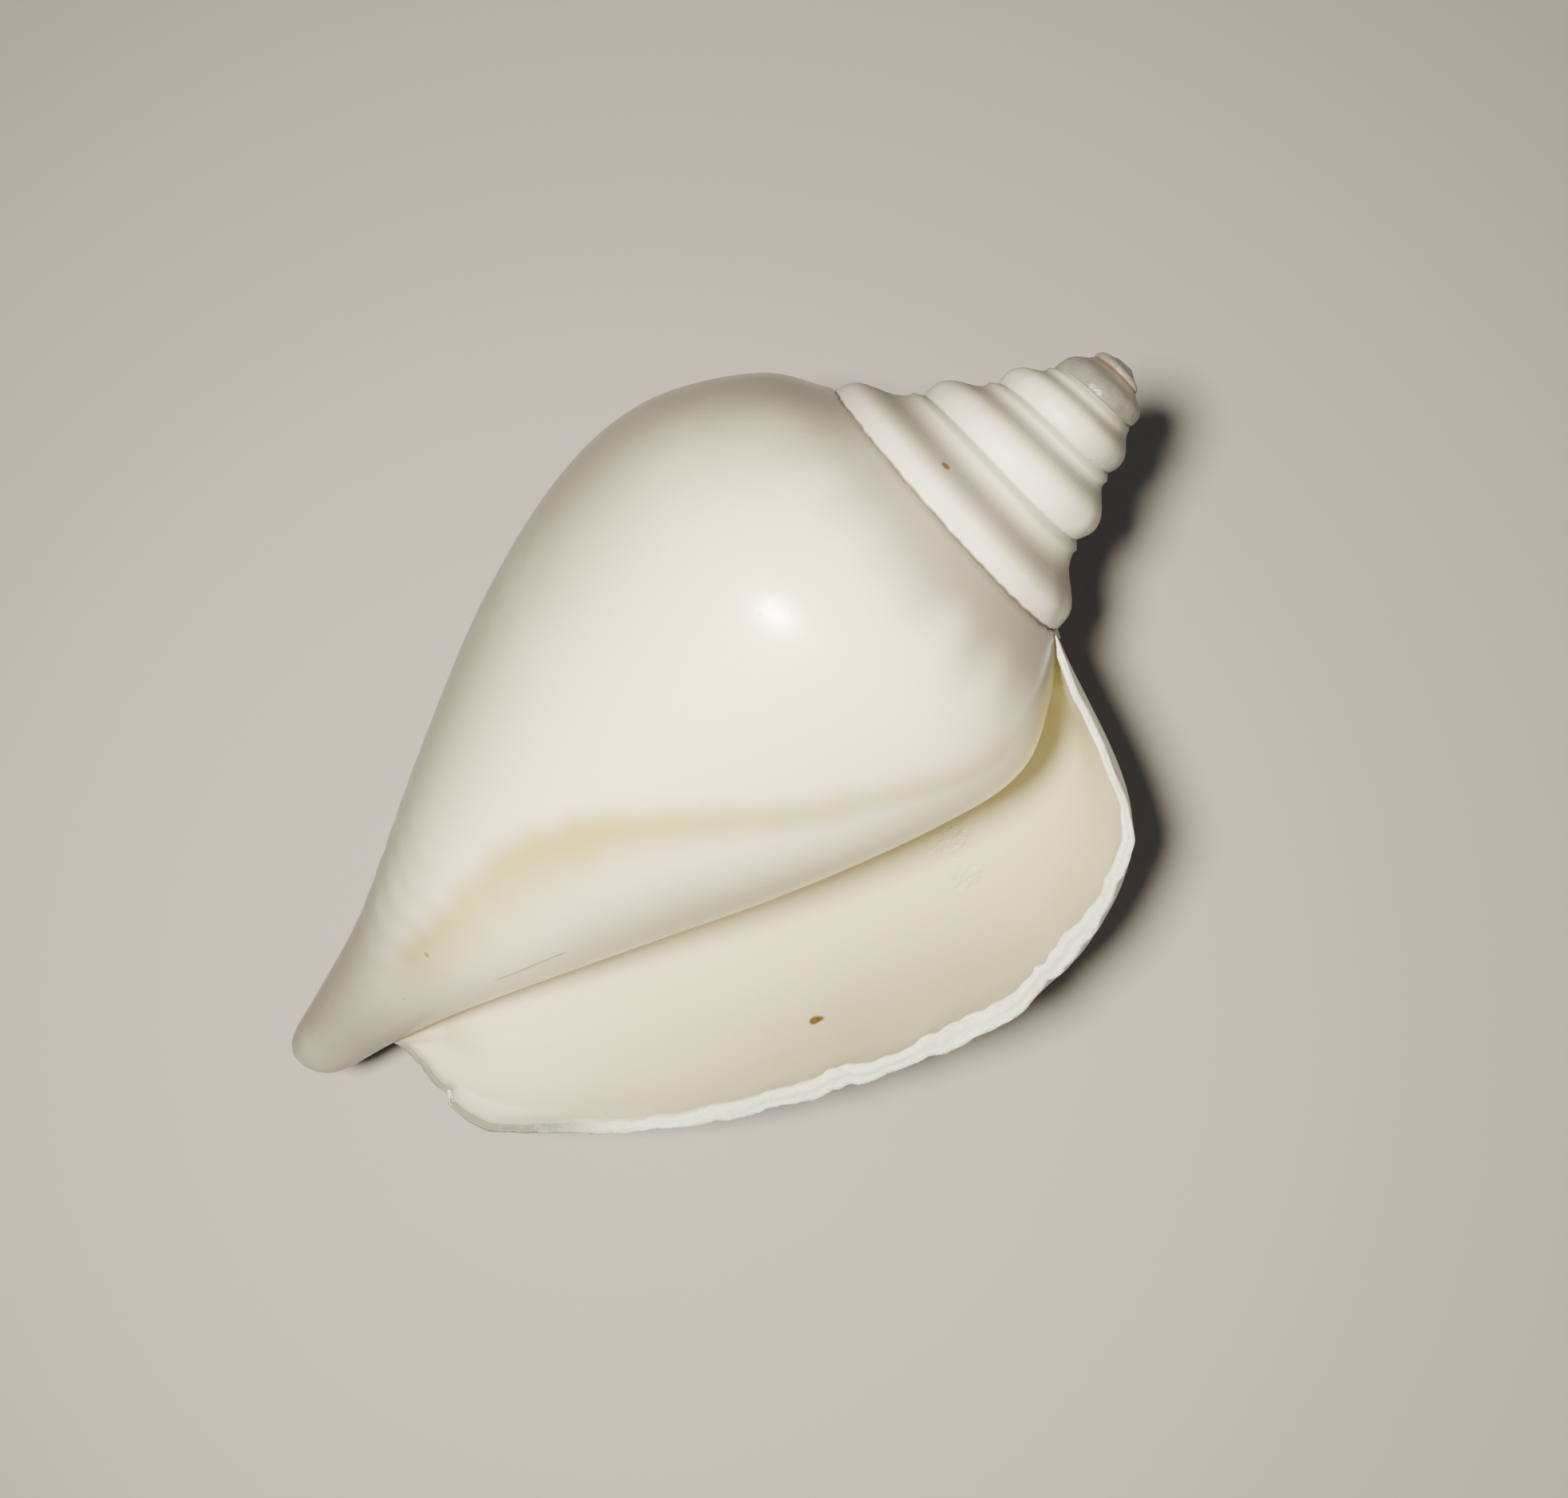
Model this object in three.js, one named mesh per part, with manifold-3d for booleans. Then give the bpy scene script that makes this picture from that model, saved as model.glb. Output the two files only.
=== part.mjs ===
// An empty conch shell, lying on its back with its mouth up, in millimetres.
//
// The shell is one grown piece: a thin wall coiled around an axis. It is described in the shell's own
// cylindrical frame first: "up" is the height along the coiling axis, from the tip of the siphonal
// canal (0) to the apex (70), and "angle" is the angle of growth in degrees. Angle 0 is the side where
// the mouth opens, 90 faces the viewer, 180 is the far flank and 270 the back. The outer lip is where
// growth stopped, a little past angle 360. The finished solid is then laid down on its back.
import * as THREE from "three";
import Module from "manifold-3d";

// Driving dimensions of the coil.
const SHELL_LENGTH = 70;
const WALL = 1.05;
const SUTURE = [
  // Where each whorl meets the one before: turns of growth, distance from the axis, height.
  { turn: -5.0, out: 0.55, up: 69.75 },
  { turn: -4.5, out: 1.05, up: 69.7 },
  { turn: -4.0, out: 1.5, up: 69.35 },
  { turn: -3.5, out: 2.0, up: 68.75 },
  { turn: -3.0, out: 2.45, up: 67.8 },
  { turn: -2.5, out: 3.0, up: 66.6 },
  { turn: -2.0, out: 3.75, up: 65.2 },
  { turn: -1.5, out: 4.5, up: 63.55 },
  { turn: -1.0, out: 5.6, up: 61.4 },
  { turn: -0.5, out: 6.9, up: 59.8 },
  { turn: 0.0, out: 9.0, up: 57.2 },
  { turn: 0.5, out: 10.6, up: 56.1 },
  { turn: 0.8, out: 10.9, up: 56.1 },
  { turn: 1.04, out: 9.3, up: 57.0 },
];

// Outlines of the last whorl, from its suture down to the canal's tip, as distance from the axis and
// height: on the mouth's side one turn before the lip, on the far flank, and along the lip itself.
const OUTLINE_MOUTH_SIDE = [
  [9.0, 57.2], [12.0, 54.2], [14.2, 50.3], [13.6, 44.5], [11.2, 34.9],
  [7.7, 23.9], [4.1, 12.2], [2.6, 5.6], [1.7, 0.9], [0, 0],
];
const OUTLINE_FLANK = [
  [10.6, 56.1], [14.4, 53.2], [17.6, 47.0], [17.9, 40.0], [15.5, 31.0],
  [11.0, 20.8], [5.8, 10.4], [3.5, 4.0], [2.1, -0.1], [0, -0.7],
];
const OUTLINE_LIP = [
  [9.3, 57.0], [20.4, 53.8], [24.8, 47.4], [25.3, 39.8], [23.1, 30.2],
  [18.4, 19.2], [10.4, 8.2],
];
const LIP_ANGLE = [374, 376, 377, 377, 376, 374.5, 373, 370, 370, 370];
const CLOSED_FROM = 7; // From this outline point on, the canal's tip is a closed pillar.
const FLARE_START = 200;
const FLARE_END = 377;

// The back of the last whorl is a little flattened.
const BACK_ANGLE = 290;
const BACK_REACH = 80;
const BACK_FLATTENING = 0.12;

// Share of the way out between two sutures, at even steps down: rounded young whorls, then flatter ones.
const BULGE_YOUNG = [0, 0.2, 0.6, 0.9, 1.02, 1.05, 1.0];
const BULGE_OLD = [0, 0.13, 0.36, 0.61, 0.8, 0.91, 1.0];
const YOUNG_TURN = -2;
const OLD_TURN = -1;

// How many degrees the hollow runs back from the lip, and its clearance where its two walls meet.
const HOLLOW_TURN = 540;
const HOLLOW_GAP = 0.3;

// Mesh density: columns in a turn, rows down a spire whorl, rows down the open mouth, rows of the tip.
const COLUMNS = 40;
const SPIRE_ROWS = 6;
const MOUTH_ROWS = 18;
const TIP_ROWS = 4;

// At rest the axis rises towards the spire and the shell leans to the lip's side. It stands on one small
// worn flat under its back.
const AXIS_RISE = 16;
const LEAN = 10;
const WORN_DEPTH = 0.3;

const LAST = OUTLINE_FLANK.length - 1;
const CLOSED = CLOSED_FROM / LAST;
const FIRST_TURN = SUTURE[0].turn;
const START_ANGLE = LIP_ANGLE[0] - 360;
const clamp01 = (x) => Math.min(1, Math.max(0, x));
const smooth = (x) => clamp01(x) ** 2 * (3 - 2 * clamp01(x));
const mix = (a, b, share) => a + (b - a) * share;

// A smooth curve through equally spaced values, at a share from 0 to 1 of its length.
function spline(values, share) {
  const place = clamp01(share) * (values.length - 1);
  const i = Math.min(values.length - 2, Math.floor(place));
  const t = place - i;
  const b = values[i];
  const c = values[i + 1];
  const a = i > 0 ? values[i - 1] : 2 * b - c;
  const d = i + 2 < values.length ? values[i + 2] : 2 * c - b;
  return b + 0.5 * t * (c - a + t * (2 * a - 5 * b + 4 * c - d + t * (3 * (b - c) + d - a)));
}

// The suture at an angle of growth.
function suture(angle) {
  const turn = Math.max(FIRST_TURN, angle / 360);
  let i = SUTURE.findIndex((s) => s.turn >= turn);
  i = Math.min(Math.max(1, i < 0 ? SUTURE.length - 1 : i), SUTURE.length - 1);
  const b = SUTURE[i - 1];
  const c = SUTURE[i];
  const a = SUTURE[i - 2] ?? b;
  const d = SUTURE[i + 1] ?? c;
  const span = c.turn - b.turn;
  const t = (turn - b.turn) / span;
  const at = (key) => {
    const slopeB = ((c[key] - a[key]) / (c.turn - a.turn)) * span;
    const slopeC = ((d[key] - b[key]) / (d.turn - b.turn)) * span;
    const t2 = t * t;
    const t3 = t2 * t;
    return (2 * t3 - 3 * t2 + 1) * b[key] + (t3 - 2 * t2 + t) * slopeB
      + (3 * t2 - 2 * t3) * c[key] + (t3 - t2) * slopeC;
  };
  return [at("out"), at("up")];
}

// One point of the last whorl's outline at an angle of growth.
function outlinePoint(i, angle) {
  const [r0, z0] = OUTLINE_MOUTH_SIDE[i];
  const [r1, z1] = OUTLINE_FLANK[i];
  if (i === 0) return suture(angle);
  if (i >= CLOSED_FROM) {
    const round = (1 - Math.cos(THREE.MathUtils.degToRad(angle))) / 2;
    return [mix(r0, r1, round), mix(z0, z1, round)];
  }
  const below = [SHELL_LENGTH - z0, SHELL_LENGTH - z1];
  const grown = (at) => [
    r0 * (r1 / r0) ** (at / 180),
    SHELL_LENGTH - below[0] * (below[1] / below[0]) ** (at / 180),
  ];
  const [r, z] = grown(angle);
  const [rEnd, zEnd] = grown(LIP_ANGLE[i]);
  const flare = smooth((angle - FLARE_START) / (FLARE_END - FLARE_START));
  const back = 1 - smooth(Math.abs(angle - BACK_ANGLE) / BACK_REACH);
  const [rLip, zLip] = OUTLINE_LIP[i];
  return [r * (rLip / rEnd) ** flare * (1 - BACK_FLATTENING * back), z + (zLip - zEnd) * flare];
}

// A point of the last whorl's outer face: s runs from 0 at the suture to 1 at the tip.
function wallPoint(angle, s) {
  const points = OUTLINE_FLANK.map((_, i) => outlinePoint(i, angle));
  return [spline(points.map((p) => p[0]), s), spline(points.map((p) => p[1]), s)];
}

const inSpace = ([out, up], angle) => {
  const a = THREE.MathUtils.degToRad(angle);
  return new THREE.Vector3(out * Math.cos(a), -out * Math.sin(a), up);
};

// The angle of growth of a column. Columns follow the lip's own bent edge, as growth lines do.
const columnAngle = (column, s) => spline(LIP_ANGLE, s) - 360 + (360 * column) / COLUMNS;
const K_OPEN = SPIRE_ROWS + MOUTH_ROWS;
const K_ALL = K_OPEN + TIP_ROWS;

// The share down the outline of a row. Near the mouth's top corner the first rows lie close together.
function rowShare(row, column) {
  const top = mix(0.008, 0.13, smooth(column / (COLUMNS / 4)));
  if (row <= SPIRE_ROWS) return (top * row) / SPIRE_ROWS;
  if (row <= K_OPEN) return mix(top, CLOSED, (row - SPIRE_ROWS) / MOUTH_ROWS);
  return mix(CLOSED, 1, (row - K_OPEN) / TIP_ROWS);
}

const outerPoint = (column, s) => {
  const angle = columnAngle(column, s);
  return inSpace(wallPoint(angle, s), angle);
};

// A point of a spire whorl's visible band, between its own suture and the next one.
function spirePoint(column, row) {
  const angle = START_ANGLE + (360 * column) / COLUMNS;
  const [r0, z0] = suture(angle);
  const [r1, z1] = suture(angle + 360);
  const down = row / SPIRE_ROWS;
  const age = smooth((angle / 360 - YOUNG_TURN) / (OLD_TURN - YOUNG_TURN));
  const out = mix(spline(BULGE_YOUNG, down), spline(BULGE_OLD, down), age);
  return inSpace([mix(r0, r1, out), mix(z0, z1, down)], angle);
}

// A mesh under construction: points with names, so that neighbouring patches share them.
function newSkin() {
  const points = [];
  const faces = [];
  const byName = new Map();
  const point = (name, make) => {
    if (!byName.has(name)) {
      byName.set(name, points.length);
      points.push(make());
    }
    return byName.get(name);
  };
  const face = (a, b, c) => {
    if (a !== b && b !== c && a !== c) faces.push([a, c, b]);
  };
  const quad = (a, b, c, d) => {
    face(a, b, c);
    face(a, c, d);
  };
  return { points, faces, point, quad, face };
}

// The outer skin's point at a column and a row. Each spire band's lower edge is the next band's upper
// edge, and past the closed row the last column is the first one.
function outerSkinPoint(skin, column, row) {
  if (row > K_OPEN - 1 && column === COLUMNS) return outerSkinPoint(skin, 0, row);
  if (row === K_ALL) return skin.point("tip", () => inSpace([0, OUTLINE_FLANK[LAST][1]], 0));
  if (column < 0 && row === SPIRE_ROWS) return outerSkinPoint(skin, column + COLUMNS, 0);
  if (column === COLUMNS && row === 0) return outerSkinPoint(skin, 0, SPIRE_ROWS);
  return skin.point(`outer ${column} ${row}`, () =>
    column < 0 ? spirePoint(column, row) : outerPoint(column, rowShare(row, column)));
}

// The wall's inner face: the outer face moved in by the wall, less where the whorl before it is near.
function innerPoint(angle, s, before) {
  const [out, up] = wallPoint(angle, s);
  const [outBelow, upBelow] = wallPoint(angle, s + 0.01);
  const [outBefore, upBefore] = wallPoint(angle - 360, before);
  const length = Math.hypot(outBelow - out, upBelow - up);
  const depth = Math.min(WALL, 0.45 * Math.hypot(outBefore - out, upBefore - up));
  return [out + (depth * (upBelow - up)) / length, up - (depth * (outBelow - out)) / length];
}

// Where a share's yes turns to no, between two shares.
function turningShare(isYes, yes, no) {
  for (let i = 0; i < 14; i++) {
    const middle = (yes + no) / 2;
    if (isYes(middle)) yes = middle;
    else no = middle;
  }
  return yes;
}

// The share of the whorl before at a height.
const shareAtHeight = (angle, up) => turningShare((s) => wallPoint(angle, s)[1] > up, 0, 0.9);

// The hollow's section at a column: the shares of its top and foot on both of its walls.
function hollowSpan(column) {
  const isClear = (s) => {
    const angle = columnAngle(column + COLUMNS, s);
    const [out, up] = innerPoint(angle, s, s);
    return out - wallPoint(angle - 360, shareAtHeight(angle - 360, up))[0] > HOLLOW_GAP;
  };
  const top = turningShare(isClear, 0.3, 0);
  const foot = turningShare(isClear, 0.3, CLOSED);
  const before = (s) => {
    const angle = columnAngle(column + COLUMNS, s);
    return shareAtHeight(angle - 360, innerPoint(angle, s, s)[1]);
  };
  const inward = smooth(-column / 6);
  const inwardFoot = smooth(-column / 12);
  return {
    top: mix(0, top, inward),
    foot: mix(CLOSED, foot, inwardFoot),
    topBefore: mix(rowShare(SPIRE_ROWS, 0), before(top), inward),
    footBefore: mix(CLOSED, before(foot), inwardFoot),
  };
}

// The hollow's ring of points at a column, 0 at the mouth and less further in: its corner at the top,
// down the inner face of the last wall, its foot, and back up the whorl before and the pillar.
function hollowRing(skin, column, columnsDeep) {
  const { top, foot, topBefore, footBefore } = hollowSpan(column);
  const before = (share) => outerPoint(column, mix(topBefore, footBefore, share));
  const inner = (share) => {
    const s = mix(top, foot, share);
    const angle = columnAngle(column + COLUMNS, s);
    return inSpace(innerPoint(angle, s, mix(topBefore, footBefore, share)), angle);
  };
  if (column === 0) {
    const down = Array.from({ length: K_OPEN - 1 }, (_, i) =>
      skin.point(`lip ${i}`, () => inner((i + 1) / K_OPEN)));
    const up = Array.from({ length: MOUTH_ROWS - 1 }, (_, i) => outerSkinPoint(skin, 0, K_OPEN - 1 - i));
    return [outerSkinPoint(skin, 0, SPIRE_ROWS), ...down, outerSkinPoint(skin, 0, K_OPEN), ...up];
  }
  const middle = (share) => inner(share).add(before(share)).multiplyScalar(0.5);
  const centre = middle(0.4);
  const depth = -column / columnsDeep;
  const closing = Math.sqrt(1 - Math.max(0, (depth - 0.85) / 0.15) ** 2);
  const place = (name, make) =>
    skin.point(`hollow ${column} ${name}`, () => make().sub(centre).multiplyScalar(closing).add(centre));
  const down = Array.from({ length: K_OPEN - 1 }, (_, i) =>
    place(`inner ${i}`, () => inner((i + 1) / K_OPEN)));
  const up = Array.from({ length: MOUTH_ROWS - 1 }, (_, i) =>
    place(`before ${i}`, () => before(1 - (i + 1) / MOUTH_ROWS)));
  return [place("corner", () => middle(0)), ...down, place("foot", () => middle(1)), ...up];
}

function makeShellSkin() {
  const skin = newSkin();
  const firstColumn = Math.ceil(((FIRST_TURN * 360 - START_ANGLE) / 360) * COLUMNS);

  // The outer skin: the spire's spiral band, then the last whorl.
  for (let column = firstColumn; column < COLUMNS; column++) {
    const rows = column < 0 ? SPIRE_ROWS : K_ALL;
    for (let row = 0; row < rows; row++) {
      const at = (c, r) => outerSkinPoint(skin, c, r);
      skin.quad(at(column, row), at(column, row + 1), at(column + 1, row + 1), at(column + 1, row));
    }
  }

  // The apex: a fan over the first turn of the suture and the first column.
  const rim = [];
  for (let row = SPIRE_ROWS; row > 0; row--) rim.push(outerSkinPoint(skin, firstColumn, row));
  for (let i = 0; i < COLUMNS; i++) rim.push(outerSkinPoint(skin, firstColumn + i, 0));
  const apex = skin.point("apex", () => new THREE.Vector3(0, 0, SHELL_LENGTH));
  rim.forEach((p, i) => skin.face(apex, p, rim[(i + 1) % rim.length]));

  // The lip's edge, from the outer face to the inner one.
  const columnsDeep = Math.round((HOLLOW_TURN / 360) * COLUMNS);
  let ring = hollowRing(skin, 0, columnsDeep);
  for (let row = 0; row < K_OPEN; row++) {
    const outer = [outerSkinPoint(skin, COLUMNS, row), outerSkinPoint(skin, COLUMNS, row + 1)];
    skin.quad(outer[0], outer[1], ring[row + 1], ring[row]);
  }

  // The hollow, from the mouth inwards, closed by a fan at its end.
  for (let column = -1; column > -columnsDeep; column--) {
    const next = hollowRing(skin, column, columnsDeep);
    ring.forEach((p, i) => {
      const j = (i + 1) % ring.length;
      skin.quad(p, ring[j], next[j], next[i]);
    });
    ring = next;
  }
  const end = skin.point("end", () => {
    const sum = ring.reduce((total, p) => total.add(skin.points[p]), new THREE.Vector3());
    return sum.divideScalar(ring.length);
  });
  ring.forEach((p, i) => skin.face(end, p, ring[(i + 1) % ring.length]));
  return skin;
}

const wasm = await Module();
wasm.setup();

// A closed solid from a skin's points and faces, turned to the pose at rest.
function laidDown({ points, faces }) {
  const rise = THREE.MathUtils.degToRad(AXIS_RISE);
  const lean = THREE.MathUtils.degToRad(LEAN);
  const up = new THREE.Vector3(
    -Math.cos(rise) * Math.sin(lean),
    -Math.cos(rise) * Math.cos(lean),
    Math.sin(rise),
  );
  const along = new THREE.Vector3(0, 0, 1).addScaledVector(up, -up.z).normalize();
  const side = new THREE.Vector3().crossVectors(up, along);
  const turn = new THREE.Matrix4().makeBasis(along, side, up).transpose();
  const used = [...new Set(faces.flat())];
  const order = new Map(used.map((p, i) => [p, i]));
  const turned = new wasm.Manifold(new wasm.Mesh({
    numProp: 3,
    vertProperties: new Float32Array(used.flatMap((p) => points[p].clone().applyMatrix4(turn).toArray())),
    triVerts: new Uint32Array(faces.flat().map((p) => order.get(p))),
  }));
  const worn = turned.trimByPlane([0, 0, 1], turned.boundingBox().min[2] + WORN_DEPTH);
  const { min, max } = worn.boundingBox();
  return worn.translate([-(min[0] + max[0]) / 2, -(min[1] + max[1]) / 2, -min[2]]);
}

const made = laidDown(makeShellSkin()).getMesh();
const geometry = new THREE.BufferGeometry();
geometry.setAttribute("position", new THREE.BufferAttribute(new Float32Array(made.vertProperties), 3));
geometry.setIndex(new THREE.BufferAttribute(new Uint32Array(made.triVerts), 1));
geometry.computeVertexNormals();

const material = new THREE.MeshStandardMaterial({ color: 0xe9e4d6, roughness: 0.4, metalness: 0 });
const shell = new THREE.Mesh(geometry, material);
shell.name = "shell";

const conch = new THREE.Group();
conch.name = "conch_shell";
conch.add(shell);

export default conch;
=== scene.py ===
"""An empty conch shell lying on its back on a pale floor, seen from above, in metres."""
import math

import bpy
import numpy as np
from mathutils import Matrix, Vector


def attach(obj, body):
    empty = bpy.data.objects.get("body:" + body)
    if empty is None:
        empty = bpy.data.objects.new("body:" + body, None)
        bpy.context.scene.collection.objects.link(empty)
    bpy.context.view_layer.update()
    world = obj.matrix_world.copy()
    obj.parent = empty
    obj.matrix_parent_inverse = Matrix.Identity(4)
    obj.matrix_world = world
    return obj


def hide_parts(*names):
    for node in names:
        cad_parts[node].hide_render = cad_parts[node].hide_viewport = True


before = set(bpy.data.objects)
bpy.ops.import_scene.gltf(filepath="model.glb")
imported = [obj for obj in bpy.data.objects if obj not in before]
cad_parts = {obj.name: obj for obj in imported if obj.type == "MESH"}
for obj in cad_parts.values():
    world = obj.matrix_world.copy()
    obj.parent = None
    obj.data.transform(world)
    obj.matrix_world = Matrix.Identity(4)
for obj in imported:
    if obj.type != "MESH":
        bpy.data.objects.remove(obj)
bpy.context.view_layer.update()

# The coil, in millimetres, in the shell's own frame: height along the axis from the canal's tip,
# and angle of growth in degrees. Angle 0 is the mouth's side, 90 faces the viewer, and 180 is the
# far flank.
SHELL_LENGTH = 70.0
WALL = 1.05
SUTURE = np.array([
    # Turns of growth, distance from the axis, height.
    [-5.0, 0.55, 69.75], [-4.5, 1.05, 69.7], [-4.0, 1.5, 69.35], [-3.5, 2.0, 68.75],
    [-3.0, 2.45, 67.8], [-2.5, 3.0, 66.6], [-2.0, 3.75, 65.2], [-1.5, 4.5, 63.55],
    [-1.0, 5.6, 61.4], [-0.5, 6.9, 59.8], [0.0, 9.0, 57.2], [0.5, 10.6, 56.1],
    [0.8, 10.9, 56.1], [1.04, 9.3, 57.0],
])

# Outlines of the last whorl from its suture down to the canal's tip: distance from the axis and
# height. The lip's outline ends where the mouth closes, because the canal's tip has no lip.
MOUTH_SIDE = [
    [9.0, 57.2], [12.0, 54.2], [14.2, 50.3], [13.6, 44.5], [11.2, 34.9],
    [7.7, 23.9], [4.1, 12.2], [2.6, 5.6], [1.7, 0.9], [0, 0],
]
FLANK = [
    [10.6, 56.1], [14.4, 53.2], [17.6, 47.0], [17.9, 40.0], [15.5, 31.0],
    [11.0, 20.8], [5.8, 10.4], [3.5, 4.0], [2.1, -0.1], [0, -0.7],
]
LIP = [
    [9.3, 57.0], [20.4, 53.8], [24.8, 47.4], [25.3, 39.8], [23.1, 30.2],
    [18.4, 19.2], [10.4, 8.2],
]
LIP_ANGLE = np.array([374, 376, 377, 377, 376, 374.5, 373, 370, 370, 370])
CLOSED_FROM = 7
FLARE_START = 200
FLARE_END = 377
BACK_ANGLE = 290
BACK_REACH = 80
BACK_FLATTENING = 0.12

# The spire's whorls bulge out between their sutures, and young ones are rounder: in even steps
# down the whorl, the share of the way out from the upper suture to the lower. Then the turns of
# growth between which the one form becomes the other.
BULGE_YOUNG = np.array([0, 0.2, 0.6, 0.9, 1.02, 1.05, 1.0])
BULGE_OLD = np.array([0, 0.13, 0.36, 0.61, 0.8, 0.91, 1.0])
YOUNG_TURN = -2
OLD_TURN = -1

# The hollow behind the mouth: the gap where its walls part, the share of a narrow place that the
# wall takes up, and how many columns the top and the foot take to reach their places.
HOLLOW_GAP = 0.3
NARROW_SHARE = 0.45
TOP_CLOSING = 30
FOOT_CLOSING = 60

# The resting pose: the same turn and shift as the frame's part.
AXIS_RISE = 16
LEAN = 10
SHIFT = np.array([-33.278, 3.4365, 7.4838])

# A millimetre, in metres.
MM = 0.001

# Mesh density of the visible shell, and the share down the outline that its first rows take up at
# the mouth and further round.
COLUMNS = 160
SPIRE_ROWS = 20
MOUTH_ROWS = 150
TIP_ROWS = 12
RIM_ROWS = 6
HOLLOW_COLUMNS = 120
TOP_AT_MOUTH = 0.008
TOP_FURTHER = 0.13

# The step down the outline, in share, over which its slope is measured.
SLOPE_STEP = 0.01

# The lip's broken edge: share down the lip, reach above and below in share, depth in millimetres
# towards the axis, standing out if negative.
CHIPS = [
    [0.030, 0.010, 0.020, 0.15], [0.085, 0.030, 0.012, 0.22], [0.128, 0.012, 0.016, -0.30],
    [0.162, 0.003, 0.014, 0.30], [0.198, 0.012, 0.004, 0.26], [0.222, 0.003, 0.012, 0.24],
    [0.250, 0.010, 0.003, 0.22], [0.266, 0.003, 0.016, 0.50], [0.300, 0.012, 0.020, -0.26],
    [0.345, 0.010, 0.003, 0.20], [0.378, 0.004, 0.022, 0.30], [0.412, 0.008, 0.003, 0.18],
    [0.438, 0.003, 0.006, 0.36], [0.450, 0.004, 0.004, 0.26], [0.492, 0.018, 0.006, 0.24],
    [0.525, 0.003, 0.008, 0.20], [0.565, 0.010, 0.004, 0.16], [0.610, 0.006, 0.006, 0.12],
    [0.660, 0.050, 0.036, -0.80], [0.700, 0.002, 0.012, 0.55], [0.735, 0.012, 0.006, 0.20],
]

# How far back from the lip the broken edge moves the wall, in degrees, its fine and coarse
# unevenness in millimetres, and the share over which it fades in at both ends.
CHIP_REACH = 8
LIP_FINE = 0.030
LIP_COARSE = 0.06
LIP_FADE = 0.03

# The broken edge: share down the lip and thickness as a share of the wall, how many columns it
# takes to reach the full wall, and its own relief in millimetres.
EDGE_WALL = [
    [0, 0.35], [0.1, 0.45], [0.2, 0.95], [0.3, 1.15], [0.5, 0.95], [0.6, 0.65], [0.68, 0.42],
]
EDGE_COLUMNS = 14
EDGE_ROUNDING = 0.14
EDGE_STEP = 0.28

# Relief of the spire: shares down each whorl, depths as shares of the whorl's height.
CORD_DOWN, CORD_WIDTH, CORD_HEIGHT = 0.10, 0.05, 0.035
HOLLOW_DOWN = [[-2, 0.27], [-1, 0.37]]
HOLLOW_WIDTH, HOLLOW_DEPTH = 0.13, 0.05
SHOULDER_DOWN, SHOULDER_WIDTH, SHOULDER_HEIGHT = 0.70, 0.16, 0.03
FOLD_HEIGHT = 0.010
PIT_DEPTH = 0.012

# A bite out of the apex: its angle, its width in degrees and the height where it starts.
BITE_ANGLE = -15
BITE_WIDTH = 50
BITE_FROM = 68.7

# Wrinkles around the neck: where they are deepest, in height and angle of growth, each with its
# reach, and their depth.
WRINKLE_UP, WRINKLE_REACH = 15, 5.5
WRINKLE_ANGLE, WRINKLE_TURN = 132, 42
WRINKLE_DEPTH = 0.06

# The stain on the last whorl: height, and its upper edge's angle, its width, its soft edge's
# place and its strength at that height.
STAIN_ANGLE = [
    [6, 96], [15.3, 98], [24.1, 93], [30.4, 85], [36.8, 68], [42.2, 53], [47.3, 41], [50.4, 33],
]
STAIN_WIDTH = [[12, 2.8], [18, 3.2], [26, 3.0], [34, 2.0], [44, 1.0], [50, 0.8]]
STAIN_TOP = [[16, 1.6], [26, 2.5]]
STAIN_STRENGTH = [[10, 0], [14, 0.9], [20, 0.85], [30, 1], [44, 0.65], [51, 0.5], [53, 0]]

# The spire's colour bands, the first two for the painted shade in its hollow: turns of growth, and
# share down the whorl or width in share.
HOLLOW_SHADE_DOWN = [[-2, 0.29], [-1, 0.44]]
HOLLOW_SHADE_WIDTH = [[-2, 0.14], [-1, 0.21]]
WHITE_FROM = [[-2, 0.44], [-1, 0.64]]

# How chalky the lip's edge is: share down the lip, and weight.
CHALK_DOWN = [[0, 0.3], [0.1, 1], [0.5, 1], [0.62, 0.7], [0.68, 0.1]]

# Colours, as linear light values.
CREAM = (0.84, 0.79, 0.57)
# Partly the ramp's own grey, partly painted shade.
RAMP_GREY_AND_SHADE = (0.20, 0.165, 0.14)
STAIN_YELLOW = (0.42, 0.35, 0.065)
# Painted shade below the stain.
LOW_SIDE_SHADE = (0.24, 0.225, 0.165)
# Painted shade on the flanks turned away from the light.
FLANK_SHADE = (0.060, 0.056, 0.046)
OLIVE = (0.50, 0.47, 0.33)
NECK_GREY = (0.10, 0.094, 0.072)
SUTURE_SHADE = (0.20, 0.17, 0.13)
SUTURE_BROWN = (0.13, 0.095, 0.06)
# Painted shade in the spire's hollow.
HOLLOW_SHADE = (0.145, 0.122, 0.115)
CORD_CREAM = (0.40, 0.375, 0.28)
SHOULDER_WHITE = (0.82, 0.80, 0.68)
WHORL_TOP = (0.42, 0.38, 0.34)
WHORL_FOOT = (0.17, 0.13, 0.10)
# Painted shade on the spire's sides.
SPIRE_SIDE_SHADE = (0.08, 0.075, 0.07)
HORNY_GREY = (0.075, 0.069, 0.062)
HORNY_BROWN = (0.09, 0.04, 0.012)
IVORY = (0.72, 0.65, 0.41)
DEEP_IVORY = (0.60, 0.575, 0.50)
LIP_IVORY = (0.62, 0.60, 0.46)
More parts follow.
